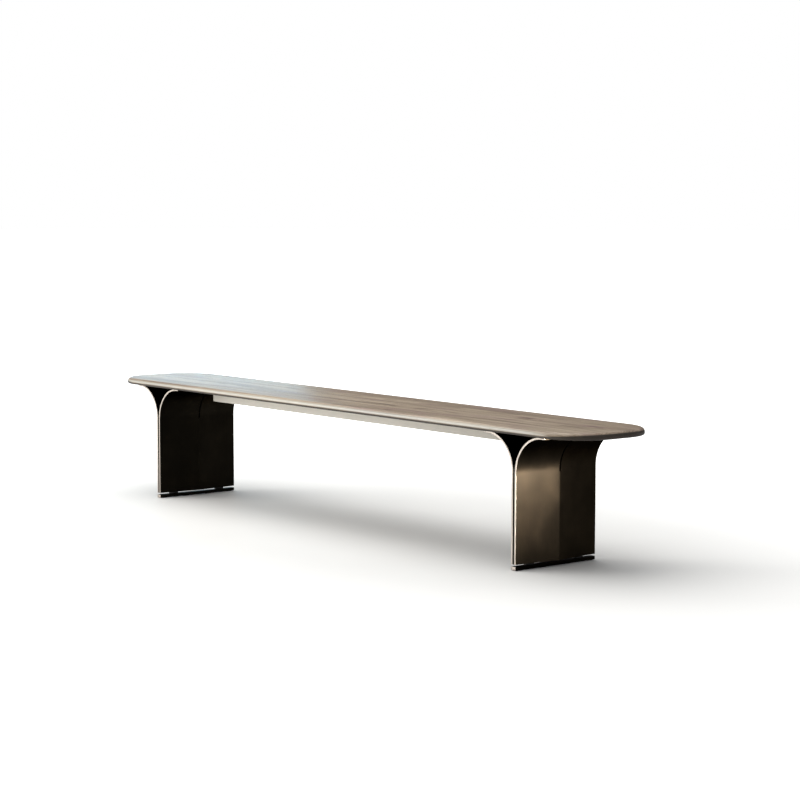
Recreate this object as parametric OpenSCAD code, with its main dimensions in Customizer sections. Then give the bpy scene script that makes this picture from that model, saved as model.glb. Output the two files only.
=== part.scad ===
// Backless bench: a long timber seat on two dark metal pedestal legs.
// Each leg is two skins of folded sheet on a core plate. A skin has an upright
// crease at mid-depth, and a slit above it lets it bend outwards in two flaps that
// carry the seat. The leg stands on a foot bar with a shadow gap.
// +X runs along the seat, +Z is up, and the origin is on the floor at the middle.

/* [Overall] */
// length of the seat
bench_length = 2626; // [1800:10:3000]
// width of the seat, front to back
bench_width = 380; // [320:5:460]
// height of the seat's top face above the floor
seat_height = 450; // [400:5:480]
// from each end of the seat to the middle of its leg
end_overhang = 295; // [220:1:400]
// how far the legs stand in from each long edge of the seat
side_inset = 19; // [5:1:40]

/* [Seat] */
// thickness of the glued timber seat
board_thickness = 22; // [20:1:32]
// radius of the four corners, seen from above
corner_radius = 150; // [60:5:155]
// radius that softens the top edge all round
top_edge_round = 13; // [3:0.5:13]
// radius that softens the bottom edge all round
bottom_edge_round = 5; // [1:0.5:6]

/* [Leg skins] */
// thickness of the folded sheet
sheet_thickness = 6; // [4:0.5:8]
// thickness of the plate that the two skins are fixed back to back on
core_thickness = 8; // [6:0.5:12]
// how far the crease stands out from the front and rear edges of a skin
crease_rise = 16.5; // [0:0.5:30]
// radius of each flare, on its hollow side
flare_radius = 115; // [60:5:130]
// level length at the top of each flare, past the bend
flange_length = 12; // [6:1:20]
// width of the slit between the front and rear flaps
slit_width = 6; // [3:0.5:10]
// how far the slit runs down below the bend
slit_reach = 4; // [0:0.5:20]
// how far the core plate reaches up between the flares
core_rise = 11; // [0:1:20]

/* [Feet] */
// thickness of the pads under each foot bar
pad_thickness = 2; // [1:0.5:5]
// length of each pad, along the foot bar
pad_length = 24; // [12:1:40]
// how far each pad stands in from both faces of the foot bar
pad_inset = 3; // [1:0.5:6]
// height of each foot bar
foot_bar_height = 11; // [8:1:20]
// shadow gap between the foot bar and the skins
foot_gap = 7; // [4:0.5:15]
// length of the two spacer blocks in that gap, which are as thick as the core plate
spacer_length = 36; // [20:1:60]
// from the middle of the leg to each spacer block
spacer_offset = 105; // [80:1:130]
// height of the heads of the foot screws
foot_head_height = 6; // [4:0.5:8]
// how far those heads stand up inside the foot bar
foot_head_recess = 0.5; // [0:0.5:2]
// how far the foot screws reach up into the core plate
foot_screw_reach = 20; // [12:1:40]

/* [Beam] */
// width of the hollow beam under the seat
beam_width = 60; // [40:5:80]
// depth of the beam
beam_depth = 50; // [30:5:60]
// wall thickness of the beam
beam_wall = 3; // [2:0.5:4]
// clear length between each end of the beam and the flange it faces
beam_clearance = 13; // [5:1:60]
// from the middle of the beam to each row of its screws
beam_screw_y = 15; // [8:1:20]
// radius of the holes that let a driver through the underside
access_radius = 7; // [6:0.5:9]
// how far the rim of a plug laps round its hole
plug_lap = 2; // [1:0.5:4]
// thickness of the rim of a plug
plug_thickness = 1.2; // [0.8:0.1:2]

/* [Fixings] */
// thickness of the plate let into the seat over each leg
plate_thickness = 4; // [3:0.5:6]
// how far that plate stands in from the long edges of the leg
plate_inset = 31; // [20:1:60]
// clear width between a flange and the heads of the plate screws
plate_screw_clearance = 8; // [4:0.5:15]
// clear width between those heads and the end of the plate
plate_margin = 7; // [4:0.5:15]
// radius of the screw shanks
shank_radius = 2.4; // [2:0.1:3]
// radius of the screw heads
head_radius = 4.75; // [4:0.25:6]
// height of the screw heads
head_height = 3.5; // [2.5:0.5:6]
// outer radius of the threaded inserts
insert_radius = 5; // [4:0.25:6]
// length of the threaded inserts
insert_length = 12; // [8:1:14]
// clearance all round a screw in a plain hole
hole_clearance = 0.35; // [0.2:0.05:0.6]
// clearance all round a piece that is let into another
fit_clearance = 0.3; // [0.2:0.05:0.5]
// clearance all round a threaded piece in its thread
thread_clearance = 0.05; // [0.02:0.01:0.1]
// radius of the hex sockets, over the corners
socket_radius = 2; // [1.5:0.1:2.5]

/* [Hidden] */
$fn = 72;

half_length = bench_length / 2;
half_width = bench_width / 2;
board_bottom = seat_height - board_thickness;
leg_x = half_length - end_overhang;
leg_depth = bench_width - 2 * side_inset;
leg_front = -leg_depth / 2;
leg_back = leg_depth / 2;
leg_thickness = core_thickness + 2 * sheet_thickness;

// centres of the corner arcs in plan, and the depth of the separate rim
corner_x = half_length - corner_radius;
corner_y = half_width - corner_radius;
rim_depth = 2 * top_edge_round;
stave_width = bench_width / 4;

foot_bar_bottom = pad_thickness;
foot_bar_top = foot_bar_bottom + foot_bar_height;
sheet_bottom = foot_bar_top + foot_gap;

back_radius = flare_radius + sheet_thickness;
flare_x = core_thickness / 2 + back_radius;
flare_z = board_bottom - back_radius;
core_top = flare_z + core_rise;
crease_angle = atan2(crease_rise, leg_back);
// the flange reaches furthest from the core at the crease
flange_end = core_thickness / 2 + (back_radius + flange_length) / cos(crease_angle) + crease_rise;

plate_screw_x = flange_end + plate_screw_clearance + head_radius;
plate_half_length = plate_screw_x + head_radius + plate_margin;
plate_half_width = leg_back - plate_inset;
plate_screw_ys = [-1.25, -0.5, 0.5, 1.25] * stave_width;
plate_top = board_bottom + plate_thickness;

beam_half = leg_x - flange_end - beam_clearance;
beam_bottom = board_bottom - beam_depth;
beam_screw_xs = [-0.92, -0.46, 0, 0.46, 0.92] * beam_half;

foot_screw_ys = [-spacer_offset, spacer_offset];
foot_counterbore = foot_head_height + foot_head_recess;
pad_ys = [-0.44, -0.15, 0.15, 0.44] * leg_depth;
pad_width = leg_thickness - 2 * pad_inset;

wood = [0.58, 0.47, 0.36];
bronze = [0.17, 0.145, 0.12];
black_steel = [0.1, 0.1, 0.1];
zinc = [0.66, 0.67, 0.68];
brass_yellow = [0.78, 0.62, 0.34];
black_rubber = [0.05, 0.05, 0.05];

// ---- seat ----

module quarter_disc(radius) {
    intersection() {
        circle(r = radius);
        square([radius, radius]);
    }
}

// section through the softened edge, from radius or offset inner to outer
module edge_section(inner, outer) {
    translate([inner, 0]) square([outer - top_edge_round - inner, board_thickness]);
    translate([inner, 0])
        square([outer - bottom_edge_round - inner, board_thickness - top_edge_round]);
    translate([inner, bottom_edge_round])
        square([outer - inner, board_thickness - top_edge_round - bottom_edge_round]);
    translate([outer - bottom_edge_round, bottom_edge_round])
        mirror([0, 1]) quarter_disc(bottom_edge_round);
    translate([outer - top_edge_round, board_thickness - top_edge_round])
        quarter_disc(top_edge_round);
}

// plan outline, drawn in by the top rounding so that only the rim reaches the edge
module inner_plan() {
    square([2 * corner_x, bench_width - 2 * top_edge_round], center = true);
    square([bench_length - 2 * top_edge_round, 2 * corner_y], center = true);
    for (sx = [-1, 1]) for (sy = [-1, 1])
        translate([sx * corner_x, sy * corner_y]) circle(r = corner_radius - top_edge_round);
}

// the seat in one piece: a level core with a softened rim along its sides and corners
module whole_board() {
    translate([0, 0, board_bottom]) {
        linear_extrude(height = board_thickness) inner_plan();
        for (turn = [0, 180]) rotate([0, 0, turn]) {
            translate([-corner_x, 0, 0]) rotate([90, 0, 90])
                linear_extrude(height = 2 * corner_x)
                    edge_section(half_width - rim_depth, half_width);
            translate([0, corner_y, 0]) rotate([90, 0, 0])
                linear_extrude(height = 2 * corner_y)
                    edge_section(half_length - rim_depth, half_length);
            for (quarter = [0, 1])
                translate([corner_x, (1 - 2 * quarter) * corner_y, 0])
                    rotate([0, 0, -90 * quarter])
                        rotate_extrude(angle = 90)
                            edge_section(corner_radius - rim_depth, corner_radius);
        }
    }
}

// pockets and bores in the underside of the seat
module board_cuts() {
    for (side = [-1, 1]) translate([side * leg_x, 0, 0]) {
        translate([
            -plate_half_length - fit_clearance,
            -plate_half_width - fit_clearance,
            board_bottom - 1
        ])
            cube([
                2 * (plate_half_length + fit_clearance),
                2 * (plate_half_width + fit_clearance),
                plate_thickness + 1
            ]);
        for (sx = [-1, 1]) for (y = plate_screw_ys)
            translate([sx * plate_screw_x, y, plate_top - 1])
                cylinder(r = insert_radius + thread_clearance, h = insert_length + 1);
    }
    for (x = beam_screw_xs) for (sy = [-1, 1])
        translate([x, sy * beam_screw_y, board_bottom - 1])
            cylinder(r = insert_radius + thread_clearance, h = insert_length + 1);
}

// one of the four staves, counted from the front
module stave(place) {
    color(wood)
        difference() {
            intersection() {
                whole_board();
                translate([-bench_length, -half_width + place * stave_width, board_bottom - 1])
                    cube([2 * bench_length, stave_width, board_thickness + 2]);
            }
            board_cuts();
        }
}

module seat_stave_front() {
    stave(0);
}

module seat_stave_front_middle() {
    stave(1);
}

module seat_stave_rear_middle() {
    stave(2);
}

module seat_stave_rear() {
    stave(3);
}

// ---- legs ----

// section of a skin: upright, quarter bend, then a short level flange
module sheet_section() {
    translate([core_thickness / 2, sheet_bottom])
        square([sheet_thickness, flare_z - sheet_bottom]);
    intersection() {
        translate([flare_x, flare_z]) difference() {
            circle(r = back_radius, $fn = 144);
            circle(r = flare_radius, $fn = 144);
        }
        translate([flare_x - 2 * back_radius, flare_z])
            square([2 * back_radius, 2 * back_radius]);
    }
    translate([flare_x, board_bottom - sheet_thickness])
        square([flange_length, sheet_thickness]);
}

// front half of a skin: the section swept along the crease's slope, cut off square
// at the front of the leg and at mid-depth
module skin_half() {
    sweep = leg_back / cos(crease_angle) + 2 * flange_length + back_radius;
    intersection() {
        translate([core_thickness / 2, leg_front, 0])
            rotate([0, 0, -crease_angle])
                translate([-core_thickness / 2, leg_back / cos(crease_angle) + back_radius, 0])
                    rotate([90, 0, 0])
                        linear_extrude(height = sweep)
                            sheet_section();
        translate([0, leg_front, 0])
            cube([2 * flange_end, leg_back, seat_height]);
    }
}

// leg: -1 left, 1 right; way: -1 flares to the left, 1 to the right
module skin(leg, way) {
    color(bronze)
        translate([leg * leg_x, 0, 0])
            mirror([way < 0 ? 1 : 0, 0, 0])
                difference() {
                    union() {
                        skin_half();
                        mirror([0, 1, 0]) skin_half();
                    }
                    // slit between the two flaps, with a round end
                    translate([0, -slit_width / 2, flare_z - slit_reach])
                        cube([2 * flange_end, slit_width, seat_height]);
                    translate([0, 0, flare_z - slit_reach])
                        rotate([0, 90, 0])
                            cylinder(r = slit_width / 2, h = 2 * flange_end);
                }
}

module left_outer_skin() {
    skin(-1, -1);
}

module left_inner_skin() {
    skin(-1, 1);
}

module right_outer_skin() {
    skin(1, 1);
}

module right_inner_skin() {
    skin(1, -1);
}

// plate between the skins, tapped from below for the foot screws
module core_plate(leg) {
    color(bronze)
        translate([leg * leg_x, 0, 0])
            difference() {
                translate([-core_thickness / 2, leg_front, sheet_bottom])
                    cube([core_thickness, leg_depth, core_top - sheet_bottom]);
                for (y = foot_screw_ys)
                    translate([0, y, sheet_bottom - 1])
                        cylinder(r = shank_radius + thread_clearance, h = foot_screw_reach + 3);
            }
}

module left_core_plate() {
    core_plate(-1);
}

module right_core_plate() {
    core_plate(1);
}

// plate let into the underside of the seat, with the flanges welded below it
module mounting_plate(leg) {
    color(black_steel)
        translate([leg * leg_x, 0, 0])
            difference() {
                translate([-plate_half_length, -plate_half_width, board_bottom])
                    cube([2 * plate_half_length, 2 * plate_half_width, plate_thickness]);
                for (sx = [-1, 1]) for (y = plate_screw_ys)
                    translate([sx * plate_screw_x, y, board_bottom - 1])
                        cylinder(r = shank_radius + hole_clearance, h = plate_thickness + 2);
            }
}

module left_mounting_plate() {
    mounting_plate(-1);
}

module right_mounting_plate() {
    mounting_plate(1);
}

// ---- feet ----

// bar on the floor under each leg, counterbored from below
module foot_bar(leg) {
    color(bronze)
        translate([leg * leg_x, 0, 0])
            difference() {
                translate([-leg_thickness / 2, leg_front, foot_bar_bottom])
                    cube([leg_thickness, leg_depth, foot_bar_height]);
                for (y = foot_screw_ys) {
                    translate([0, y, foot_bar_bottom - 1])
                        cylinder(r = shank_radius + hole_clearance, h = foot_bar_height + 2);
                    translate([0, y, foot_bar_bottom - 1])
                        cylinder(r = head_radius + fit_clearance, h = foot_counterbore + 1);
                }
            }
}

module left_foot_bar() {
    foot_bar(-1);
}

module right_foot_bar() {
    foot_bar(1);
}

// blocks that hold the core plate clear of the foot bar, with its screws through them
module spacer_blocks(leg) {
    color(black_steel)
        for (y = foot_screw_ys)
            translate([leg * leg_x, y, foot_bar_top])
                difference() {
                    translate([-core_thickness / 2, -spacer_length / 2, 0])
                        cube([core_thickness, spacer_length, foot_gap]);
                    translate([0, 0, -1])
                        cylinder(r = shank_radius + hole_clearance, h = foot_gap + 2);
                }
}

module left_spacer_blocks() {
    spacer_blocks(-1);
}

module right_spacer_blocks() {
    spacer_blocks(1);
}

// four pads under each foot bar
module foot_pads(leg) {
    color(black_rubber)
        translate([leg * leg_x, 0, 0])
            for (y = pad_ys)
                translate([-pad_width / 2, y - pad_length / 2, 0])
                    cube([pad_width, pad_length, pad_thickness]);
}

module left_foot_pads() {
    foot_pads(-1);
}

module right_foot_pads() {
    foot_pads(1);
}

// a screw with its head below the origin, its shank above, and a hex socket
module socket_screw(reach, head) {
    difference() {
        union() {
            translate([0, 0, -head]) cylinder(r = head_radius, h = head);
            cylinder(r = shank_radius, h = reach);
        }
        translate([0, 0, -head - 1])
            cylinder(r = socket_radius, h = head * 0.6 + 1, $fn = 6);
    }
}

module foot_screws(leg) {
    color(zinc)
        for (y = foot_screw_ys)
            translate([leg * leg_x, y, foot_bar_bottom + foot_counterbore])
                socket_screw(
                    sheet_bottom + foot_screw_reach - foot_bar_bottom - foot_counterbore,
                    foot_head_height
                );
}

module left_foot_screws() {
    foot_screws(-1);
}

module right_foot_screws() {
    foot_screws(1);
}

// ---- fixings into the seat ----

module plate_screws(leg) {
    color(zinc)
        for (sx = [-1, 1]) for (y = plate_screw_ys)
            translate([leg * leg_x + sx * plate_screw_x, y, board_bottom])
                socket_screw(plate_thickness + insert_length - 3, head_height);
}

module left_plate_screws() {
    plate_screws(-1);
}

module right_plate_screws() {
    plate_screws(1);
}

// a threaded sleeve standing in the seat
module threaded_insert() {
    difference() {
        cylinder(r = insert_radius, h = insert_length);
        translate([0, 0, -1])
            cylinder(r = shank_radius + thread_clearance, h = insert_length + 2);
    }
}

module plate_inserts(leg) {
    color(brass_yellow)
        for (sx = [-1, 1]) for (y = plate_screw_ys)
            translate([leg * leg_x + sx * plate_screw_x, y, plate_top])
                threaded_insert();
}

module left_plate_inserts() {
    plate_inserts(-1);
}

module right_plate_inserts() {
    plate_inserts(1);
}

// ---- beam ----

// hollow beam along the middle of the seat, with holes for a driver below
module beam() {
    color(bronze)
        difference() {
            translate([-beam_half + beam_wall, -beam_width / 2, beam_bottom])
                cube([2 * (beam_half - beam_wall), beam_width, beam_depth]);
            translate([-beam_half, -beam_width / 2 + beam_wall, beam_bottom + beam_wall])
                cube([2 * beam_half, beam_width - 2 * beam_wall, beam_depth - 2 * beam_wall]);
            for (x = beam_screw_xs) for (sy = [-1, 1]) {
                translate([x, sy * beam_screw_y, beam_bottom - 1])
                    cylinder(r = access_radius, h = beam_wall + 2);
                translate([x, sy * beam_screw_y, board_bottom - beam_wall - 1])
                    cylinder(r = shank_radius + hole_clearance, h = beam_wall + 2);
            }
        }
}

module beam_cap(side) {
    color(bronze)
        translate([side > 0 ? beam_half - beam_wall : -beam_half, -beam_width / 2, beam_bottom])
            cube([beam_wall, beam_width, beam_depth]);
}

module beam_left_cap() {
    beam_cap(-1);
}

module beam_right_cap() {
    beam_cap(1);
}

module beam_screws() {
    color(zinc)
        for (x = beam_screw_xs) for (sy = [-1, 1])
            translate([x, sy * beam_screw_y, board_bottom - beam_wall])
                socket_screw(beam_wall + insert_length - 3, head_height);
}

module beam_inserts() {
    color(brass_yellow)
        for (x = beam_screw_xs) for (sy = [-1, 1])
            translate([x, sy * beam_screw_y, board_bottom])
                threaded_insert();
}

// snap-in covers for the driver holes
module beam_hole_plugs() {
    color(black_rubber)
        for (x = beam_screw_xs) for (sy = [-1, 1])
            translate([x, sy * beam_screw_y, beam_bottom - plug_thickness]) {
                cylinder(r = access_radius + plug_lap, h = plug_thickness);
                cylinder(r = access_radius - thread_clearance, h = plug_thickness + beam_wall + 1);
            }
}

seat_stave_front();
seat_stave_front_middle();
seat_stave_rear_middle();
seat_stave_rear();
left_outer_skin();
left_inner_skin();
right_outer_skin();
right_inner_skin();
left_core_plate();
right_core_plate();
left_mounting_plate();
right_mounting_plate();
left_foot_bar();
right_foot_bar();
left_spacer_blocks();
right_spacer_blocks();
left_foot_pads();
right_foot_pads();
left_foot_screws();
right_foot_screws();
left_plate_screws();
right_plate_screws();
left_plate_inserts();
right_plate_inserts();
beam();
beam_left_cap();
beam_right_cap();
beam_screws();
beam_inserts();
beam_hole_plugs();
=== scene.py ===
# %% [markdown]
# # A backless bench, finished in Blender
# The bench is a long glued-up timber seat on two folded bronze legs, with a hollow
# beam under its middle. The exact model gives every piece its size and place. This
# lesson puts on what an exact model leaves plain: eased edges, grain, patina, light.
# Everything is in metres, +X runs along the seat and +Z is up.

# %% Load the exact model
import math
import bpy
import bmesh
from mathutils import Matrix, Vector


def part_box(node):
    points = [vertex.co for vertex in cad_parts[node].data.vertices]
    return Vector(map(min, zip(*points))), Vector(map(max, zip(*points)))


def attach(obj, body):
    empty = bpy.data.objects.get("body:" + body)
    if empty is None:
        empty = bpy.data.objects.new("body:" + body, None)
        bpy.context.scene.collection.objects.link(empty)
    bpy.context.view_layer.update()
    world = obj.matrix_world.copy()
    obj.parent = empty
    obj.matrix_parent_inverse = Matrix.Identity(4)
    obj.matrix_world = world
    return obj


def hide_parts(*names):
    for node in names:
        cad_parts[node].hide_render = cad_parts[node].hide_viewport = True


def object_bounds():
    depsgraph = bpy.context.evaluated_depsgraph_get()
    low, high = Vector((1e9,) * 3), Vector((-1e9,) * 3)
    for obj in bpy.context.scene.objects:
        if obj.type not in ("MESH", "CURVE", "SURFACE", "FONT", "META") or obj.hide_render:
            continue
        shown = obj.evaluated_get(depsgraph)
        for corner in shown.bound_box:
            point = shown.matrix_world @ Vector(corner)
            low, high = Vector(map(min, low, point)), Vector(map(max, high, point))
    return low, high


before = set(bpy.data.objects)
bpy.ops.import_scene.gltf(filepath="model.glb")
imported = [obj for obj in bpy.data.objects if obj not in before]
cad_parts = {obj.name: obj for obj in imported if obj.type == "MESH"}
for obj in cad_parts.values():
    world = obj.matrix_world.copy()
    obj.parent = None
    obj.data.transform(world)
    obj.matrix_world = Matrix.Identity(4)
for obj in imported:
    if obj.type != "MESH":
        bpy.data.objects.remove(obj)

cad_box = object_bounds()
print("nodes:", len(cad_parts), "box:", [tuple(round(c, 4) for c in p) for p in cad_box])

# %% [markdown]
# ## The sizes that the pieces share
# A maker takes sizes off the drawing once and works from them. Here they are read
# from the boxes of the exact pieces, so a piece made later always fits its place.
# Only what a box cannot tell, such as a bend's radius, is written as a number.

# %% Sizes
MM = 0.001
seat_high = cad_box[1]
front_stave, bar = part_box("seat_stave_front"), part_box("right_foot_bar")
skin_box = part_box("right_outer_skin")

half_length, half_width = seat_high.x, seat_high.y
board_top, board_bottom = front_stave[1].z, front_stave[0].z
stave_width = front_stave[1].y - front_stave[0].y
leg_x = (bar[0].x + bar[1].x) / 2
leg_depth = bar[1].y - bar[0].y
sheet_bottom = skin_box[0].z

corner_radius, top_round, bottom_round = 150 * MM, 13 * MM, 5 * MM
core_thickness, sheet_thickness = 8 * MM, 6 * MM
crease_rise, flare_radius, flange_length = 16.5 * MM, 115 * MM, 12 * MM
slit_width, slit_reach = 6 * MM, 4 * MM
print("seat", round(2 * half_length, 3), "x", round(2 * half_width, 3), "leg at", round(leg_x, 3))


# %% [markdown]
# ## A short way to write node trees
# Node trees make both the shapes and the finishes below. Drawn by hand they are wide
# webs of little boxes, so one class wraps a socket and lets plain arithmetic add the
# Math nodes, and one method adds any other kind of node.

# %% Sockets that do arithmetic
class Wire:
    """A number, vector or colour that flows out of a node."""

    def __init__(self, web, socket):
        self.web, self.socket = web, socket

    def math(self, operation, *others):
        values = {i: v for i, v in enumerate((self, *others))}
        return self.web.node("ShaderNodeMath", {"operation": operation}, values)

    def after(self, operation, other):
        values = {0: other, 1: self}
        return self.web.node("ShaderNodeMath", {"operation": operation}, values)

    def __add__(self, other): return self.math("ADD", other)
    def __sub__(self, other): return self.math("SUBTRACT", other)
    def __mul__(self, other): return self.math("MULTIPLY", other)
    def __truediv__(self, other): return self.math("DIVIDE", other)
    def __pow__(self, other): return self.math("POWER", other)
    def __radd__(self, other): return self.after("ADD", other)
    def __rsub__(self, other): return self.after("SUBTRACT", other)
    def __rmul__(self, other): return self.after("MULTIPLY", other)
    def __rtruediv__(self, other): return self.after("DIVIDE", other)
    def __neg__(self): return 0.0 - self
    def __abs__(self): return self.math("ABSOLUTE")
    def __gt__(self, other): return self.math("GREATER_THAN", other)
    def __lt__(self, other): return self.math("LESS_THAN", other)

    def between(self, low, high):
        return self.math("MAXIMUM", low).math("MINIMUM", high)

    def rise(self, start, end, low=0.0, high=1.0):
        """Eases from low to high as the value goes from start to end."""
        sockets = {0: self, 1: start, 2: end, 3: low, 4: high}
        return self.web.node("ShaderNodeMapRange", {"interpolation_type": "SMOOTHSTEP"}, sockets)

    def split(self):
        parts = self.web.node("ShaderNodeSeparateXYZ", {}, {0: self})
        return [Wire(self.web, s) for s in parts.socket.node.outputs]


class Web:
    """A node tree that grows by calls."""

    def __init__(self, tree):
        self.tree = tree

    def node(self, kind, settings=None, sockets=None, out=0):
        made = self.tree.nodes.new(kind)
        for name, value in (settings or {}).items():
            if name == "stops":
                ramp = made.color_ramp.elements
                while len(ramp) < len(value):
                    ramp.new(0.5)
                for stop, (place, colour) in zip(ramp, value):
                    stop.position, stop.color = place, (*colour, 1.0)
            else:
                setattr(made, name, value)
        for name, value in (sockets or {}).items():
            if isinstance(value, Wire):
                self.tree.links.new(value.socket, made.inputs[name])
            else:
                made.inputs[name].default_value = value
        return Wire(self, made.outputs[out]) if len(made.outputs) else made

    def vector(self, x, y, z):
        return self.node("ShaderNodeCombineXYZ", {}, {0: x, 1: y, 2: z})

    def mix(self, factor, a, b):
        """Blends two colours."""
        paint = lambda c: c if isinstance(c, Wire) else (*c, 1.0)
        return self.node("ShaderNodeMix", {"data_type": "RGBA"}, {0: factor, 6: paint(a), 7: paint(b)}, 2)


print("node tree helpers ready")


# %% [markdown]
# ## Finishes
# Each finish is a tree of its own around one Principled shader. Patterns are read
# from Object coordinates, in metres, so a pattern has a true size on the piece and
# the parts of one object share it. A finish feeds colour, roughness and relief;
# whatever is the same all over the surface is set on the shader itself.

# %% A finish and its parts
class Finish(Web):
    """A material: named shader sockets for what stays, wires for what varies."""

    def __init__(self, name, **fixed):
        self.material = bpy.data.materials.new(name)
        self.material.use_nodes = True
        super().__init__(self.material.node_tree)
        self.tree.nodes.clear()
        self.shader = self.tree.nodes.new("ShaderNodeBsdfPrincipled")
        output = self.tree.nodes.new("ShaderNodeOutputMaterial")
        self.tree.links.new(self.shader.outputs[0], output.inputs["Surface"])
        for label, value in fixed.items():
            self.shader.inputs[label.replace("_", " ")].default_value = value
        self.place = self.node("ShaderNodeTexCoord", out="Object")
        self.x, self.y, self.z = self.place.split()[:3]

    def noise(self, x, y, z, detail=2.0, roughness=0.5, seed=0.0):
        """Cloudy noise from 0 to 1; x, y and z say how many clouds fit in a metre."""
        spot = self.vector(self.x * x + seed, self.y * y - seed * 0.7, self.z * z + seed * 0.3)
        sockets = {"Vector": spot, "Scale": 1.0, "Detail": detail, "Roughness": roughness}
        return self.node("ShaderNodeTexNoise", {}, sockets)

    def ramp(self, value, stops):
        return self.node("ShaderNodeValToRGB", {"stops": stops}, {0: value})

    def feed(self, colour=None, roughness=None, relief=None, depth=0.0001, **more):
        """Joins the varying wires to the shader; relief goes through a Bump node."""
        wires = {"Base Color": colour, "Roughness": roughness, **more}
        if relief is not None:
            sockets = {"Height": relief, "Distance": depth, "Strength": 1.0}
            wires["Normal"] = self.node("ShaderNodeBump", {}, sockets)
        for label, wire in wires.items():
            if wire is not None:
                self.tree.links.new(wire.socket, self.shader.inputs[label])
        return self.material


print("finish helper ready")


# %% [markdown]
# ## Timber for the seat
# The seat is glued up from four staves of brown hardwood, oiled and waxed. A stave is
# a slice out of a log, so its grain is a cut through rings: the finish measures how
# far each point lies from the heart of a log that wavers along its length, and turns
# that distance into early and late wood. Every stave has a heart of its own, so the
# grain changes where two staves meet. Broad streaks, rosy patches, fine open pores and
# a few knots come on top. A knot pushes the rings aside and has a rosy halo. A pale
# painted highlight runs along the rounding of the edge and fades out at the right end.
# Below it a band of painted shade runs all round, and it climbs higher on the two ends.

# %% Timber
RING_WIDTH = 5.2 * MM
KNOT_STRETCH = 4.2  # how many times longer than wide a knot is
EDGE_BAND = 6 * MM  # how far in from the outline the painted highlight and painted shade reach
PAINTED_SHADE_CLIMB = 0.07  # how fast the painted shade rises along the round corners


def timber(name, seed, heart_y, heart_z, knots):
    """Wood cut from a log whose heart lies at (heart_y, heart_z); knots are (x, y, size)."""
    f = Finish(name, IOR=1.45, Coat_Weight=0.12, Coat_Roughness=0.25)
    waver = f.noise(0.9, 0, 0, seed=seed) - 0.5
    drift = f.noise(0.6, 0, 0, seed=seed + 31) - 0.5
    across = f.y - heart_y - waver * 0.07
    down = f.z - heart_z - drift * 0.10
    ripple = (f.noise(1.6, 16, 16, detail=3, seed=seed) - 0.5) * 0.010
    reach = (across * across + down * down).math("SQRT") + ripple
    dark_knot = halo = None
    for knot_x, knot_y, size in knots:
        along = (f.x - knot_x) / (size * KNOT_STRETCH)
        beside = (f.y - knot_y) / size
        away = along * along + beside * beside
        reach = reach + (-away).math("EXPONENT") * size * 0.8
        core, ring_of_rose = (away * -7.0).math("EXPONENT"), (away * -1.6).math("EXPONENT")
        dark_knot = core if dark_knot is None else dark_knot.math("MAXIMUM", core)
        halo = ring_of_rose if halo is None else halo.math("MAXIMUM", ring_of_rose)
    ring = (reach / RING_WIDTH + f.noise(0.8, 5, 5, seed=seed + 7) * 2).math("FRACT")
    late = ring.rise(0.35, 0.93) * (1 - ring.rise(0.93, 1.0))
    streak = f.noise(1.7, 42, 42, detail=3, roughness=0.6, seed=seed + 3)
    broad = f.noise(1.1, 11, 6, detail=2, seed=seed + 11)
    fibre = f.noise(26, 900, 900, detail=3, roughness=0.65, seed=seed)
    pores = f.noise(45, 1500, 1500, detail=1, seed=seed + 5).rise(0.62, 0.72)
    tone = streak * 0.80 + broad * 0.66 + late * -0.20 + fibre * 0.26 - 0.26
    colour = f.ramp(tone, [
        (0.22, (0.084, 0.054, 0.034)),
        (0.38, (0.160, 0.111, 0.071)),
        (0.52, (0.248, 0.184, 0.124)),
        (0.70, (0.370, 0.296, 0.212)),
    ])
    rosy = f.noise(4.5, 15, 8, detail=2, seed=seed + 19).rise(0.50, 0.68) * 0.5
    colour = f.mix(rosy, colour, (0.215, 0.138, 0.120))
    colour = f.mix(pores * 0.5, colour, (0.075, 0.045, 0.028))
    colour = f.mix(halo * 0.55, colour, (0.250, 0.150, 0.125))
    colour = f.mix(dark_knot * 0.85, colour, (0.050, 0.026, 0.016))

    # how far a point lies past the centre of its round corner, along each side
    past_x = (abs(f.x) - half_length + corner_radius).between(0, 1)
    past_y = (abs(f.y) - half_width + corner_radius).between(0, 1)
    near_edge = (past_x * past_x + past_y * past_y).math("SQRT") > corner_radius - EDGE_BAND
    up_edge = f.z - board_bottom
    # painted shade: a dark band on the lower part of the edge, climbing higher towards the two ends
    stain_and_painted_shade = (1 - (up_edge - past_x * PAINTED_SHADE_CLIMB).rise(5.5 * MM, 8.5 * MM)) * near_edge
    # painted highlight: a pale line along the rounding of the edge, fading out towards the right end
    painted_highlight = up_edge.rise(7 * MM, 10 * MM) * (1 - up_edge.rise(13 * MM, 20 * MM)) * near_edge
    fade_start, fade_end = half_length - 1.6 * corner_radius, half_length - 0.6 * corner_radius
    painted_highlight = painted_highlight * (1 - f.x.rise(fade_start, fade_end))
    colour = f.mix(painted_highlight * 0.55, colour, (0.600, 0.610, 0.560))
    colour = f.mix(stain_and_painted_shade * 0.93, colour, (0.022, 0.016, 0.011))
    gloss = 0.36 + fibre * 0.10 + late * -0.05 + pores * 0.12 + stain_and_painted_shade * 0.15 + painted_highlight * -0.06
    return f.feed(colour, gloss, fibre * 0.5 + pores * -1.0 + late * 0.35, 0.00012)


stave_finishes = {
    "seat_stave_front": timber("timber_front", 2.0, -0.205, 0.330, [(0.36, -0.150, 0.012)]),
    "seat_stave_front_middle": timber("timber_front_middle", 9.5, -0.030, 0.360, [(-0.52, -0.05, 0.010)]),
    "seat_stave_rear_middle": timber("timber_rear_middle", 17.0, 0.075, 0.345,
                                     [(0.845, 0.041, 0.026), (1.165, 0.030, 0.022)]),
    "seat_stave_rear": timber("timber_rear", 24.5, 0.190, 0.310, [(0.10, 0.150, 0.011)]),
}
print("timber finishes:", len(stave_finishes))


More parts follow.
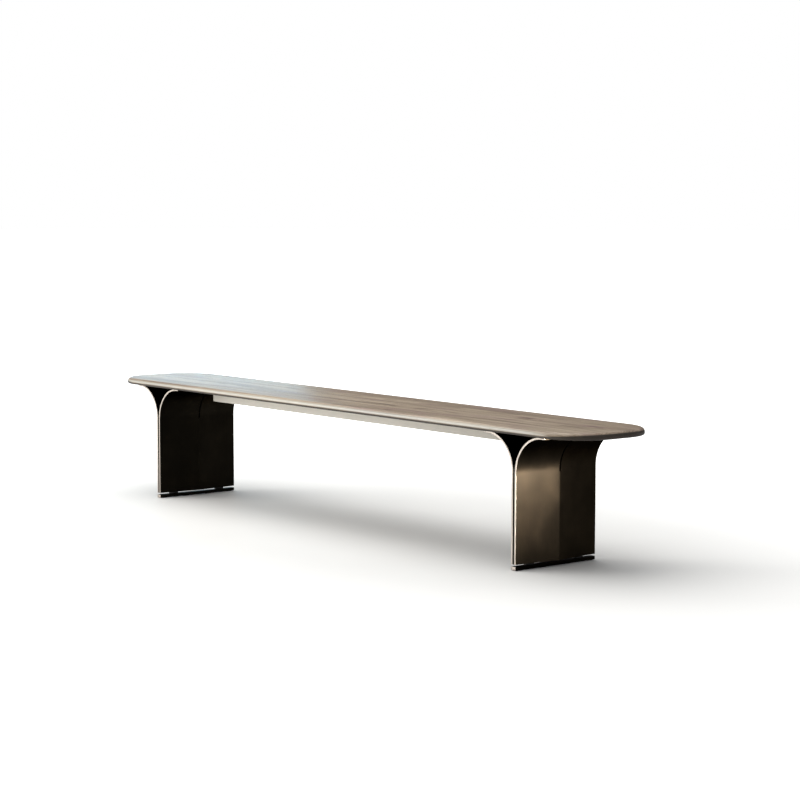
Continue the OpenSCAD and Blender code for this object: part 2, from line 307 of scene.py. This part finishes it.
# %% [markdown]
# ## Bronze for the legs
# The legs are steel sheet with a dark bronze patina, waxed to a soft sheen. The
# patina is clouded and brushed lightly from top to bottom, and it stays dark at a low
# angle. The cut edges of the skins and foot bars at the front and rear are ground
# bright and left bare, which draws a light line up every flare. The core plate between
# the skins keeps its patina. A mask made from the place of those edges parts the two.

# %% Bronze
GROUND_DEPTH = 0.35 * MM  # how deep the bare ground edge reaches


def patina(name, bright_edges):
    f = Finish(name, Metallic=1.0, Specular_Tint=(0.40, 0.38, 0.36, 1.0))
    cloud = f.noise(9, 9, 7, detail=4, roughness=0.6)
    drag = f.noise(140, 420, 3.5, detail=3, roughness=0.6, seed=4)
    speck = f.noise(700, 700, 700, detail=2, seed=8)
    tone = cloud * 0.7 + drag * 0.2 + speck * 0.1
    colour = f.ramp(tone, [
        (0.30, (0.0055, 0.0047, 0.0036)),
        (0.50, (0.0082, 0.0069, 0.0050)),
        (0.72, (0.0135, 0.0110, 0.0076)),
    ])
    gloss = 0.25 + cloud * 0.08 + drag * 0.05 + speck * 0.03
    if bright_edges:
        ground = abs(f.y) > leg_depth / 2 - GROUND_DEPTH
        bare = f.ramp(drag, [(0.3, (0.38, 0.34, 0.305)), (0.7, (0.56, 0.51, 0.465))])
        colour = f.mix(ground, colour, bare)
        gloss = gloss + ground * 0.10
    return f.feed(colour, gloss, drag * 0.6 + speck * 0.4, 0.00002)


skin_bronze = patina("bronze_patina", True)
core_bronze = patina("bronze_patina_dark_edges", False)
print("bronze finishes ready")


# %% [markdown]
# ## Paint, steel, zinc, brass, rubber and plastic
# The other finishes are those of bought parts: a pale powder coat with its fine
# orange peel on the beam, black powder coat on the plates in the seat, bright zinc
# on the screws, yellow brass inserts, rubber pads and small plastic plugs.

# %% Small finishes
def powder_coat(name, pale, deep, gloss_low):
    f = Finish(name, Coat_Roughness=0.3)
    peel = f.noise(420, 420, 420, detail=2, seed=1)
    dust = f.noise(14, 30, 30, detail=4, roughness=0.6, seed=6)
    gloss = gloss_low + peel * 0.08 + dust * 0.10
    return f.feed(f.mix(dust, deep, pale), gloss, peel, 0.00006)


def plated(name, light, dark, gloss_low):
    f = Finish(name, Metallic=1.0)
    turned = f.noise(1200, 1200, 2600, detail=2, seed=2)
    stain_and_painted_shade = f.noise(160, 160, 160, detail=3, seed=9)
    return f.feed(f.mix(stain_and_painted_shade, light, dark), gloss_low + turned * 0.15, turned, 0.00002)


def moulded(name, light, dark, gloss_low, depth):
    f = Finish(name)
    skin = f.noise(1500, 1500, 1500, detail=3, seed=3)
    scuff = f.noise(60, 60, 60, detail=4, roughness=0.7, seed=12)
    return f.feed(f.mix(scuff, dark, light), gloss_low + skin * 0.2, skin, depth)


beam_paint = powder_coat("beam_paint", (0.74, 0.71, 0.64), (0.62, 0.59, 0.53), 0.34)
black_steel = powder_coat("black_steel", (0.030, 0.029, 0.028), (0.016, 0.016, 0.016), 0.42)
zinc_screw = plated("zinc_screw", (0.62, 0.64, 0.67), (0.44, 0.45, 0.46), 0.26)
insert_brass = plated("insert_brass", (0.72, 0.52, 0.24), (0.50, 0.34, 0.14), 0.28)
pad_rubber = moulded("pad_rubber", (0.035, 0.034, 0.033), (0.018, 0.018, 0.018), 0.55, 0.0001)
plug_plastic = moulded("plug_plastic", (0.050, 0.049, 0.047), (0.028, 0.028, 0.028), 0.35, 0.00004)
print("small finishes ready")


# %% [markdown]
# ## Putting a finished piece in place
# Every piece made below stands for one exact piece: it takes that piece's name with
# "visual" added, rides on the same body, and gets its finish.
# The corners of a real piece are never knife sharp, so a small bevel rounds them and
# its hardened normals keep the flat faces flat.

# %% Place a piece
made = {}


def seat_piece(shape, node, finish, round_by=0.0, steps=2, sharp=35):
    """Gives a mesh an object, an eased edge and its place in the bench."""
    piece = shape if isinstance(shape, bpy.types.Object) else bpy.data.objects.new(node, shape)
    piece.name = node + ".visual"
    if piece.name not in bpy.context.scene.collection.all_objects:
        bpy.context.scene.collection.objects.link(piece)
    piece.data.materials.clear()
    piece.data.materials.append(finish)
    piece.data.polygons.foreach_set("use_smooth", [round_by > 0] * len(piece.data.polygons))
    if round_by:
        ease = piece.modifiers.new("eased_edges", "BEVEL")
        ease.width, ease.segments, ease.angle_limit = round_by, steps, math.radians(sharp)
        ease.limit_method, ease.harden_normals, ease.use_clamp_overlap = "ANGLE", True, True
    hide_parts(node)
    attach(piece, "root")
    made[node] = piece
    return piece


def clean_copy(node):
    """A merged copy of an exact piece's mesh, with its flat faces joined up again."""
    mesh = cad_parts[node].data.copy()
    work = bmesh.new()
    work.from_mesh(mesh)
    bmesh.ops.remove_doubles(work, verts=work.verts, dist=0.002 * MM)
    bmesh.ops.dissolve_limit(
        work, angle_limit=math.radians(1), verts=work.verts, edges=work.edges, delimit=set()
    )
    bmesh.ops.recalc_face_normals(work, faces=work.faces)
    work.to_mesh(mesh)
    work.free()
    return mesh


print("piece helper ready")


# %% [markdown]
# ## The seat
# The outline is a rectangle with four large round corners, and its edge is rounded
# above and below. A ring of points drawn at each step of that rounding, further in
# as it nears the top or bottom, gives a board of clean quads when neighbouring rings
# are joined. The board is then sawn along three lines into its four staves, the way
# a joiner would mark them, and each stave's underside gets its pockets and bores.

# %% The board in rings
CORNER_STEPS, EDGE_STEPS = 28, 8  # flats round a corner of the outline, and over each edge


def outline(inset, z):
    """Points round the seat, drawn in by inset, at height z."""
    radius = corner_radius - inset
    centre_x, centre_y = half_length - corner_radius, half_width - corner_radius
    points = []
    for quarter, (sx, sy) in enumerate([(1, 1), (-1, 1), (-1, -1), (1, -1)]):
        for step in range(CORNER_STEPS + 1):
            turn = math.radians(90) * (quarter + step / CORNER_STEPS)
            points.append((
                sx * centre_x + radius * math.cos(turn),
                sy * centre_y + radius * math.sin(turn),
                z,
            ))
    return points


def edge_profile():
    """(inset, height) from the underside to the top, round both edges."""
    turns = [math.radians(90) * s / EDGE_STEPS for s in range(EDGE_STEPS + 1)]
    low = [
        (bottom_round * (1 - math.sin(t)), board_bottom + bottom_round * (1 - math.cos(t)))
        for t in turns
    ]
    high = [
        (top_round * (1 - math.cos(t)), board_top - top_round * (1 - math.sin(t)))
        for t in turns
    ]
    return low + high


def whole_board():
    work = bmesh.new()
    rings = [[work.verts.new(p) for p in outline(*step)] for step in edge_profile()]
    count = len(rings[0])
    for low, high in zip(rings, rings[1:]):
        for i in range(count):
            j = (i + 1) % count
            work.faces.new((low[i], low[j], high[j], high[i]))
    work.faces.new(list(reversed(rings[0])))
    work.faces.new(rings[-1])
    return work


board = whole_board()
print("board:", len(board.verts), "points,", len(board.faces), "faces")


# %% Saw the board into staves
def sawn_stave(place):
    """One of four staves, counted from the front, with closed sawn faces."""
    work = board.copy()
    low = -half_width + place * stave_width
    for y, keep in ((low, 1), (low + stave_width, -1)):
        if abs(abs(y) - half_width) < MM:
            continue
        everything = work.verts[:] + work.edges[:] + work.faces[:]
        cut = bmesh.ops.bisect_plane(
            work, geom=everything, dist=1e-7, plane_co=(0, y, 0), plane_no=(0, keep, 0), clear_inner=True
        )
        rim = [e for e in cut["geom_cut"] if isinstance(e, bmesh.types.BMEdge)]
        bmesh.ops.edgenet_fill(work, edges=rim)
    bmesh.ops.recalc_face_normals(work, faces=work.faces)
    return work


def cutter_mesh():
    """Blocks and round bars where the seat's underside is cut away."""
    work = bmesh.new()
    fit, bore_radius = 0.3 * MM, 5.05 * MM
    for side in ("left", "right"):
        low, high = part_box(side + "_mounting_plate")
        low = low - Vector((fit, fit, MM))
        high = high + Vector((fit, fit, 0))
        place = Matrix.Translation((low + high) / 2) @ Matrix.Diagonal((*(high - low), 1))
        bmesh.ops.create_cube(work, size=1, matrix=place)
    for name in ("left_plate_inserts", "right_plate_inserts", "beam_inserts"):
        for x, y, low, high in islands(name):
            bmesh.ops.create_cone(
                work, cap_ends=True, segments=32, radius1=bore_radius, radius2=bore_radius,
                depth=high - low + MM, matrix=Matrix.Translation((x, y, (low + high - MM) / 2)),
            )
    mesh = bpy.data.meshes.new("underside_cutters")
    work.to_mesh(mesh)
    work.free()
    return mesh


def islands(node):
    """(x, y, lowest, highest) of each separate bit of an exact piece, left to right."""
    work = bmesh.new()
    work.from_mesh(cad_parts[node].data)
    bmesh.ops.remove_doubles(work, verts=work.verts, dist=0.002 * MM)
    found, left = [], set(work.verts)
    while left:
        bit, queue = set(), [left.pop()]
        while queue:
            point = queue.pop()
            bit.add(point)
            near = {e.other_vert(point) for e in point.link_edges} & left
            left -= near
            queue += near
        spans = [(min(p.co[k] for p in bit), max(p.co[k] for p in bit)) for k in range(3)]
        found.append((sum(spans[0]) / 2, sum(spans[1]) / 2, *spans[2]))
    work.free()
    return sorted((round(x, 5), round(y, 5), low, high) for x, y, low, high in found)


cutters = bpy.data.objects.new("underside_cutters", cutter_mesh())
bpy.context.scene.collection.objects.link(cutters)


def cut_underside(work, name):
    """Takes the cutters away from a stave and returns its plain mesh."""
    mesh = bpy.data.meshes.new(name)
    work.to_mesh(mesh)
    work.free()
    stave = bpy.data.objects.new(name, mesh)
    bpy.context.scene.collection.objects.link(stave)
    saw = stave.modifiers.new("pockets", "BOOLEAN")
    saw.object, saw.operation, saw.solver = cutters, "DIFFERENCE", "EXACT"
    graph = bpy.context.evaluated_depsgraph_get()
    cut = bpy.data.meshes.new_from_object(stave.evaluated_get(graph))
    bpy.data.objects.remove(stave)
    return cut


for place, (node, finish) in enumerate(stave_finishes.items()):
    piece = seat_piece(cut_underside(sawn_stave(place), node), node, finish)
    # level and sawn faces stay flat, the rounded rim is smooth, and the seams are sharp
    faces = piece.data.polygons
    flat = [abs(face.normal.z) > 0.999 or abs(face.normal.y) > 0.999999 for face in faces]
    faces.foreach_set("use_smooth", [not level for level in flat])
    piece.data.set_sharp_from_angle(angle=math.radians(30))
    print(node, len(piece.data.polygons), "faces")
bpy.data.objects.remove(cutters)
board.free()


# %% [markdown]
# ## Shapes from rules: running a geometry tree
# A geometry tree is a recipe with named inputs. This helper gives it an empty object,
# sets the inputs by the identifiers of their sockets, lets Blender work the shape out
# once and keeps the result as a plain mesh.

# %% Geometry trees
class Recipe(Web):
    """A geometry tree with named inputs, its last steps Realize Instances and Set Material."""

    def __init__(self, name, **sizes):
        super().__init__(bpy.data.node_groups.new(name, "GeometryNodeTree"))
        self.tree.interface.new_socket("Geometry", in_out="INPUT", socket_type="NodeSocketGeometry")
        for label in sizes:
            self.tree.interface.new_socket(label, in_out="INPUT", socket_type="NodeSocketFloat")
        self.tree.interface.new_socket("Material", in_out="INPUT", socket_type="NodeSocketMaterial")
        self.tree.interface.new_socket("Geometry", in_out="OUTPUT", socket_type="NodeSocketGeometry")
        self.sizes = sizes
        self.source = self.tree.nodes.new("NodeGroupInput")

    def size(self, label):
        return Wire(self, self.source.outputs[label])

    def join(self, *shapes):
        joined = self.tree.nodes.new("GeometryNodeJoinGeometry")
        for shape in shapes:
            self.tree.links.new(shape.socket, joined.inputs[0])
        return Wire(self, joined.outputs[0])

    def serve(self, shape):
        shape = self.node("GeometryNodeRealizeInstances", {}, {0: shape})
        sockets = {"Geometry": shape, "Material": self.size("Material")}
        shape = self.node("GeometryNodeSetMaterial", {}, sockets)
        output = self.tree.nodes.new("NodeGroupOutput")
        self.tree.links.new(shape.socket, output.inputs[0])

    def run(self, name, finish, points=(), **changed):
        start = bpy.data.meshes.new(name)
        start.from_pydata(list(points), [], [])
        holder = bpy.data.objects.new(name, start)
        bpy.context.scene.collection.objects.link(holder)
        step = holder.modifiers.new(name, "NODES")
        step.node_group = self.tree
        values = {**self.sizes, **changed, "Material": finish}
        for item in self.tree.interface.items_tree:
            if item.in_out == "INPUT" and item.name in values:
                step[item.identifier] = values[item.name]
        holder.update_tag()
        graph = bpy.context.evaluated_depsgraph_get()
        mesh = bpy.data.meshes.new_from_object(holder.evaluated_get(graph))
        bpy.data.objects.remove(holder)
        work = bmesh.new()
        work.from_mesh(mesh)
        bmesh.ops.recalc_face_normals(work, faces=work.faces)
        work.to_mesh(mesh)
        work.free()
        return mesh


print("recipe helper ready")


# %% [markdown]
# ## The folded skins
# A skin is one sheet with an upright crease at mid-depth, a quarter bend at its top
# and a short level flange. Above the crease a slit parts the bend into two flaps.
# That is a rule, so a tree makes it: a block of grid points is laid out by row, from
# the foot to the tip of the flange, by column, from the front edge to the crease, and
# by layer, for the two faces. One half is made, mirrored and merged along the crease.

# %% A recipe for a skin
UPRIGHT_ROWS, SLIT_ROWS, REACH_ROWS, BEND_ROWS, FLANGE_ROWS = 12, 6, 1, 32, 2
COLUMNS = 18  # from the front edge to the crease
SHEET_EASE = 0.5 * MM


def skin_recipe():
    r = Recipe("folded_skin", **{
        "Leg place": leg_x, "Way": 1.0, "Core thickness": core_thickness,
        "Sheet thickness": sheet_thickness, "Leg depth": leg_depth, "Crease rise": crease_rise,
        "Crease softness": 2.5 * MM, "Flare radius": flare_radius, "Flange length": flange_length,
        "Slit width": slit_width, "Slit reach": slit_reach, "Foot height": sheet_bottom,
        "Seat underside": board_bottom,
    })
    rows = UPRIGHT_ROWS + SLIT_ROWS + REACH_ROWS + BEND_ROWS + FLANGE_ROWS
    block = r.node("GeometryNodeMeshCube", {}, {
        "Size": (1, 1, 1), "Vertices X": rows + 1, "Vertices Y": COLUMNS + 1, "Vertices Z": 2,
    })
    u, v, w = [part + 0.5 for part in r.node("GeometryNodeInputPosition").split()[:3]]
    row = u * rows
    steps, passed = [], 0
    for count in (UPRIGHT_ROWS, SLIT_ROWS, REACH_ROWS, BEND_ROWS, FLANGE_ROWS):
        steps.append(((row - passed) / count).between(0.0, 1.0))
        passed += count
    up, round_end, above_slit, bend, flange = steps

    half_depth = r.size("Leg depth") / 2
    half_slit = r.size("Slit width") / 2
    back_radius = r.size("Flare radius") + r.size("Sheet thickness")
    bend_foot = r.size("Seat underside") - back_radius
    slit_foot = bend_foot - r.size("Slit reach") - half_slit
    end_turn = round_end * (math.pi / 2)
    bend_turn = bend * (math.pi / 2)
    layer = w * r.size("Sheet thickness")
    arm = back_radius - layer

    z = r.size("Foot height") + up * (slit_foot - r.size("Foot height"))
    z = z + half_slit * (1 - end_turn.math("COSINE")) + above_slit * r.size("Slit reach")
    z = z + arm * bend_turn.math("SINE")
    out = layer + arm * (1 - bend_turn.math("COSINE")) + flange * r.size("Flange length")

    parted = half_slit * end_turn.math("SINE")
    near = 1 - (1 - v) ** 2.0
    y = near * (half_depth - parted) - half_depth
    soft = (y * y + r.size("Crease softness") ** 2.0).math("SQRT")
    slope = r.size("Crease rise") / half_depth
    stretch = (slope * slope + 1).math("SQRT")
    x = r.size("Core thickness") / 2 + out * stretch + slope * (half_depth - soft).math("MAXIMUM", 0.0)

    shape = r.node("GeometryNodeSetPosition", {}, {
        "Geometry": block, "Position": r.vector(x, y, z),
    })
    place = r.node("GeometryNodeInputPosition").split()
    on_crease = abs(place[1]) < 0.01 * MM
    half = r.node("GeometryNodeDeleteGeometry", {"domain": "FACE", "mode": "ONLY_FACE"}, {
        "Geometry": shape, "Selection": on_crease,
    })
    other = r.node("GeometryNodeTransform", {}, {"Geometry": half, "Scale": (1, -1, 1)})
    other = r.node("GeometryNodeFlipFaces", {}, {0: other})
    both = r.node("GeometryNodeMergeByDistance", {}, {
        "Geometry": r.join(half, other), "Distance": 0.02 * MM,
    })
    x, y, z = r.node("GeometryNodeInputPosition").split()[:3]
    turned = r.vector(r.size("Leg place") + r.size("Way") * x, y, z)
    r.serve(r.node("GeometryNodeSetPosition", {}, {"Geometry": both, "Position": turned}))
    return r


folded_skin = skin_recipe()
for leg, side in ((-1, "left"), (1, "right")):
    for way, name in ((leg, "outer"), (-leg, "inner")):
        node = f"{side}_{name}_skin"
        shape = folded_skin.run(node, skin_bronze, **{"Leg place": leg * leg_x, "Way": float(way)})
        piece = seat_piece(shape, node, skin_bronze, SHEET_EASE, sharp=50)
        corners = zip((piece.bound_box[0], piece.bound_box[6]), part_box(node))
        off = max((Vector(own) - exact).length for own, exact in corners)
        print(node, len(shape.polygons), "faces; box within", round(off / MM, 3), "mm")


# %% [markdown]
# ## Plates, bars and blocks
# These are plain machined pieces whose shape is already right. Real stock has a small
# break on every edge, so a merged copy of each exact piece gets one: wide on sawn bar,
# narrow on sheet.

# %% Machined pieces
MACHINED = [
    # piece, slot, finish, edge break in mm
    ("core_plate", "bronze_sheet", core_bronze, 0.4),
    ("foot_bar", "bronze_sheet", skin_bronze, 0.7),
    ("spacer_blocks", "black_steel", black_steel, 0.5),
    ("mounting_plate", "black_steel", black_steel, 0.4),
    ("foot_pads", "pad_rubber", pad_rubber, 0.5),
]
for name, slot, finish, edge in MACHINED:
    for side in ("left", "right"):
        node = f"{side}_{name}"
        piece = seat_piece(clean_copy(node), node, finish, edge * MM)
        print(node, len(piece.data.polygons), "faces")
for node, edge in (("beam", 1.2), ("beam_left_cap", 0.5), ("beam_right_cap", 0.5)):
    piece = seat_piece(clean_copy(node), node, beam_paint, edge * MM)
    print(node, len(piece.data.polygons), "faces")


# %% [markdown]
# ## Screws and plugs
# Screws come out of one box, so one recipe turns a screw and sets a copy on every
# point it is given. A disc is drawn at the tip and pushed along in steps, each with its
# own width, the way a lathe would leave it. In the head, the points of a narrow ring
# are moved onto a hexagon and pushed back in, which is the socket for the key. A copy
# of the first disc, turned over, closes the tip. Plugs are turned the same way.

# %% Turned pieces on points
CHAMFER, TIP_LENGTH = 0.4 * MM, 1 * MM
TIP_WIDTH, SOCKET_DEPTH = 0.8, 0.6  # shares of the shank's width and the head's height
RIM_HEIGHT = 1.2 * MM


def lathe(r, start_radius, steps, sides=36, hexagon_at=None):
    """A closed solid of rings: each step climbs some length and then scales the ring."""
    sockets = {"Vertices": sides, "Radius": start_radius}
    disc = r.node("GeometryNodeMeshCircle", {"fill_type": "NGON"}, sockets)
    shape, top = disc, None
    for number, (climb, scale) in enumerate(steps):
        sockets = {"Mesh": shape, "Offset": r.vector(0, 0, climb), "Offset Scale": 1.0}
        if top is not None:
            sockets["Selection"] = top
        pushed = r.node("GeometryNodeExtrudeMesh", {"mode": "FACES"}, sockets)
        top = Wire(r, pushed.socket.node.outputs["Top"])
        shape = r.node("GeometryNodeScaleElements", {"domain": "FACE"}, {
            "Geometry": pushed, "Selection": top, "Scale": scale,
        })
        if number == hexagon_at:
            x, y, z = r.node("GeometryNodeInputPosition").split()[:3]
            turn = y.math("ARCTAN2", x).math("WRAP", math.pi / 6, -math.pi / 6)
            pull = math.cos(math.pi / 6) / turn.math("COSINE")
            shape = r.node("GeometryNodeSetPosition", {}, {
                "Geometry": shape, "Selection": top, "Position": r.vector(x * pull, y * pull, z),
            })
    base = r.node("GeometryNodeFlipFaces", {}, {0: disc})
    sockets = {"Geometry": r.join(shape, base), "Distance": 0.001 * MM}
    return r.node("GeometryNodeMergeByDistance", {}, sockets)


def on_points(r, shape, height):
    """Turns a solid upside down, its start at a height over each point it is set on."""
    turned = r.node("GeometryNodeTransform", {}, {
        "Geometry": shape, "Scale": (1, 1, -1), "Translation": r.vector(0, 0, height),
    })
    turned = r.node("GeometryNodeSetShadeSmooth", {}, {0: turned, "Shade Smooth": False})
    points = r.node("GeometryNodeMeshToPoints", {}, {"Mesh": r.size("Geometry")})
    r.serve(r.node("GeometryNodeInstanceOnPoints", {}, {"Points": points, "Instance": turned}))
    return r


def screw_recipe():
    """A socket screw: its shank stands over the point and its head hangs below."""
    r = Recipe("socket_screw", **{
        "Head radius": 4.75 * MM, "Head height": 3.5 * MM, "Shank radius": 2.4 * MM,
        "Shank length": 13 * MM, "Socket radius": 2 * MM,
    })
    head, tall, shank = r.size("Head radius"), r.size("Head height"), r.size("Shank radius")
    steps = [
        (TIP_LENGTH, 1 / TIP_WIDTH),
        (r.size("Shank length") - TIP_LENGTH, 1.0),
        (0.0, head / shank),
        (tall - CHAMFER, 1.0),
        (CHAMFER, (head - CHAMFER) / head),
        (0.0, r.size("Socket radius") / (head - CHAMFER)),
        (tall * -SOCKET_DEPTH, 1.0),
    ]
    return on_points(r, lathe(r, shank * TIP_WIDTH, steps, hexagon_at=5), r.size("Shank length"))


def plug_recipe():
    """A snap-in cover: its stem stands over the point and its domed rim hangs below."""
    r = Recipe("hole_plug", **{
        "Rim radius": 9 * MM, "Rim height": RIM_HEIGHT,
        "Stem radius": 6.95 * MM, "Stem length": 4 * MM,
    })
    rim, tall, stem, long = [r.size(label) for label in r.sizes]
    narrow = 0.93  # the stem's lead-in, as a share of its width
    steps = [
        (long * 0.15, 1 / narrow), (long * 0.85, 1.0), (0.0, rim / stem),
        (tall * 0.35, 1.0), (tall * 0.30, 0.975), (tall * 0.22, 0.92), (tall * 0.13, 0.70),
    ]
    return on_points(r, lathe(r, stem * narrow, steps), long)


screw, plug = screw_recipe(), plug_recipe()
SCREWS = {
    # piece: (head height, shank length) in mm
    "left_plate_screws": (3.5, 13), "right_plate_screws": (3.5, 13), "beam_screws": (3.5, 12),
    "left_foot_screws": (6, 31.5), "right_foot_screws": (6, 31.5),
}
for node, (head, shank) in SCREWS.items():
    seats = [(x, y, low + head * MM) for x, y, low, high in islands(node)]
    shape = screw.run(node, zinc_screw, seats, **{"Head height": head * MM, "Shank length": shank * MM})
    seat_piece(shape, node, zinc_screw)
    low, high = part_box(node)
    print(node, len(seats), "screws,", len(shape.polygons), "faces, top at",
          round(max(v.co.z for v in shape.vertices) - high.z, 5))

seats = [(x, y, low + RIM_HEIGHT) for x, y, low, high in islands("beam_hole_plugs")]
shape = plug.run("beam_hole_plugs", plug_plastic, seats)
seat_piece(shape, "beam_hole_plugs", plug_plastic)
print("plugs:", len(seats))

# %% [markdown]
# ## Pieces that stay as they are
# The threaded inserts sit inside the seat and their exact shape is right, so they
# only get their brass.

# %% Brass for the inserts
for node in ("left_plate_inserts", "right_plate_inserts", "beam_inserts"):
    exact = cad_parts[node]
    exact.data.materials.clear()
    exact.data.materials.append(insert_brass)
print("not replaced:", sorted(set(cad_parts) - set(made)))

# %% [markdown]
# ## Floor
# A wide pale disc stands in for a studio floor. Away from the bench it fades into
# plain white, so there is no hard line where the floor ends. Only the camera sees
# that white, because a glowing floor would light the legs from below.

# %% Floor
FLOOR_RADIUS = 60.0
FADE_START, FADE_END = 0.5, 2.4  # how far out it starts to whiten, and is white
FADE_STRETCH = 0.55  # the pale patch is longer than wide, as the bench is
floor_mesh = bpy.data.meshes.new("floor")
work = bmesh.new()
bmesh.ops.create_circle(work, cap_ends=True, segments=96, radius=FLOOR_RADIUS)
work.to_mesh(floor_mesh)
work.free()
floor = bpy.data.objects.new("floor", floor_mesh)
bpy.context.scene.collection.objects.link(floor)
f = Finish("floor_paint", Specular_IOR_Level=0.2)
along = f.x * FADE_STRETCH
away = (along * along + f.y * f.y).math("SQRT").rise(FADE_START, FADE_END)
grit = f.noise(3, 3, 3, detail=3)
f.feed(f.mix(grit, (0.70, 0.698, 0.690), (0.73, 0.728, 0.720)), 0.6 + grit * 0.1)
f.shader.inputs["Emission Strength"].default_value = 1.0
glow = away * f.node("ShaderNodeLightPath", out="Is Camera Ray")
f.tree.links.new(f.vector(glow, glow, glow).socket, f.shader.inputs["Emission Color"])
floor_mesh.materials.append(f.material)
print("floor radius", FLOOR_RADIUS)


# %% [markdown]
# ## Light and camera
# The light is that of a bright studio: a wide soft box overhead, a second one ahead
# and to the left that picks out the cut edges, a cool strip far behind the left end
# that skims along the seat, and a small warm card that lights up the front half of
# the right leg. The card is linked to that one skin, so the end of the seat above it
# stays in shade.

# %% Lights
def soft_box(name, place, aim, width, height, watts, colour, spread=180):
    """A rectangle of light at a place, turned to its aim, that the camera does not see."""
    lamp = bpy.data.lights.new(name, "AREA")
    lamp.shape, lamp.size, lamp.size_y = "RECTANGLE", width, height
    lamp.energy, lamp.color, lamp.spread = watts, colour, math.radians(spread)
    holder = bpy.data.objects.new(name, lamp)
    bpy.context.scene.collection.objects.link(holder)
    look = Vector(aim) - Vector(place)
    holder.matrix_world = Matrix.Translation(place) @ look.to_track_quat("-Z", "Y").to_matrix().to_4x4()
    holder.visible_camera = False
    return holder


soft_box("overhead", (-1.4, -1.0, 5.0), (-0.4, 0, 0), 7.0, 6.0, 370, (1.0, 0.99, 0.965))
soft_box("front_left", (-4.2, -4.6, 1.5), (0, 0, 0.3), 3.5, 2.2, 210, (1.0, 0.98, 0.94))
soft_box("cool_skim", (-6.2, 3.0, 1.1), (-1.0, 0.0, 0.45), 2.2, 1.3, 27, (0.56, 0.83, 1.0))
warm_card = soft_box(
    "warm_card", (1.98, 0.23, 0.31), (1.02, -0.12, 0.31), 0.30, 0.22, 7.0, (1.0, 0.86, 0.74), 60
)
lit_by_card = bpy.data.collections.new("lit_by_card")
lit_by_card.objects.link(made["right_outer_skin"])
warm_card.light_linking.receiver_collection = lit_by_card

world = bpy.data.worlds.new("studio")
bpy.context.scene.world = world
world.use_nodes = True
w = Web(world.node_tree)
world.node_tree.nodes.clear()
aim = w.node("ShaderNodeTexCoord", out="Generated").split()
lift = aim[2].rise(0.0, 0.7)
room = w.mix(lift, (0.04, 0.043, 0.045), (0.52, 0.525, 0.53))
seen = w.node("ShaderNodeLightPath", out="Is Camera Ray")
backdrop = w.node("ShaderNodeBackground", {}, {"Color": w.mix(seen, room, (1.0, 1.0, 1.0))})
w.node("ShaderNodeOutputWorld", {}, {"Surface": backdrop})
bpy.context.scene.view_settings.view_transform = "Standard"
print("lights set")

# %% Camera
camera_data = bpy.data.cameras.new("camera")
camera_data.lens, camera_data.sensor_width = 96.79, 36.0
camera_data.clip_start, camera_data.clip_end = 0.1, 200.0
camera = bpy.data.objects.new("camera", camera_data)
bpy.context.scene.collection.objects.link(camera)
yaw, pitch, roll = math.radians(51.13), math.radians(5.515), math.radians(0.132)
camera.matrix_world = (
    Matrix.Translation((5.937, -4.589, 1.1705))
    @ Matrix.Rotation(yaw, 4, "Z")
    @ Matrix.Rotation(math.pi / 2 - pitch, 4, "X")
    @ Matrix.Rotation(roll, 4, "Z")
)
bpy.context.scene.camera = camera
print("camera at", tuple(camera.location))
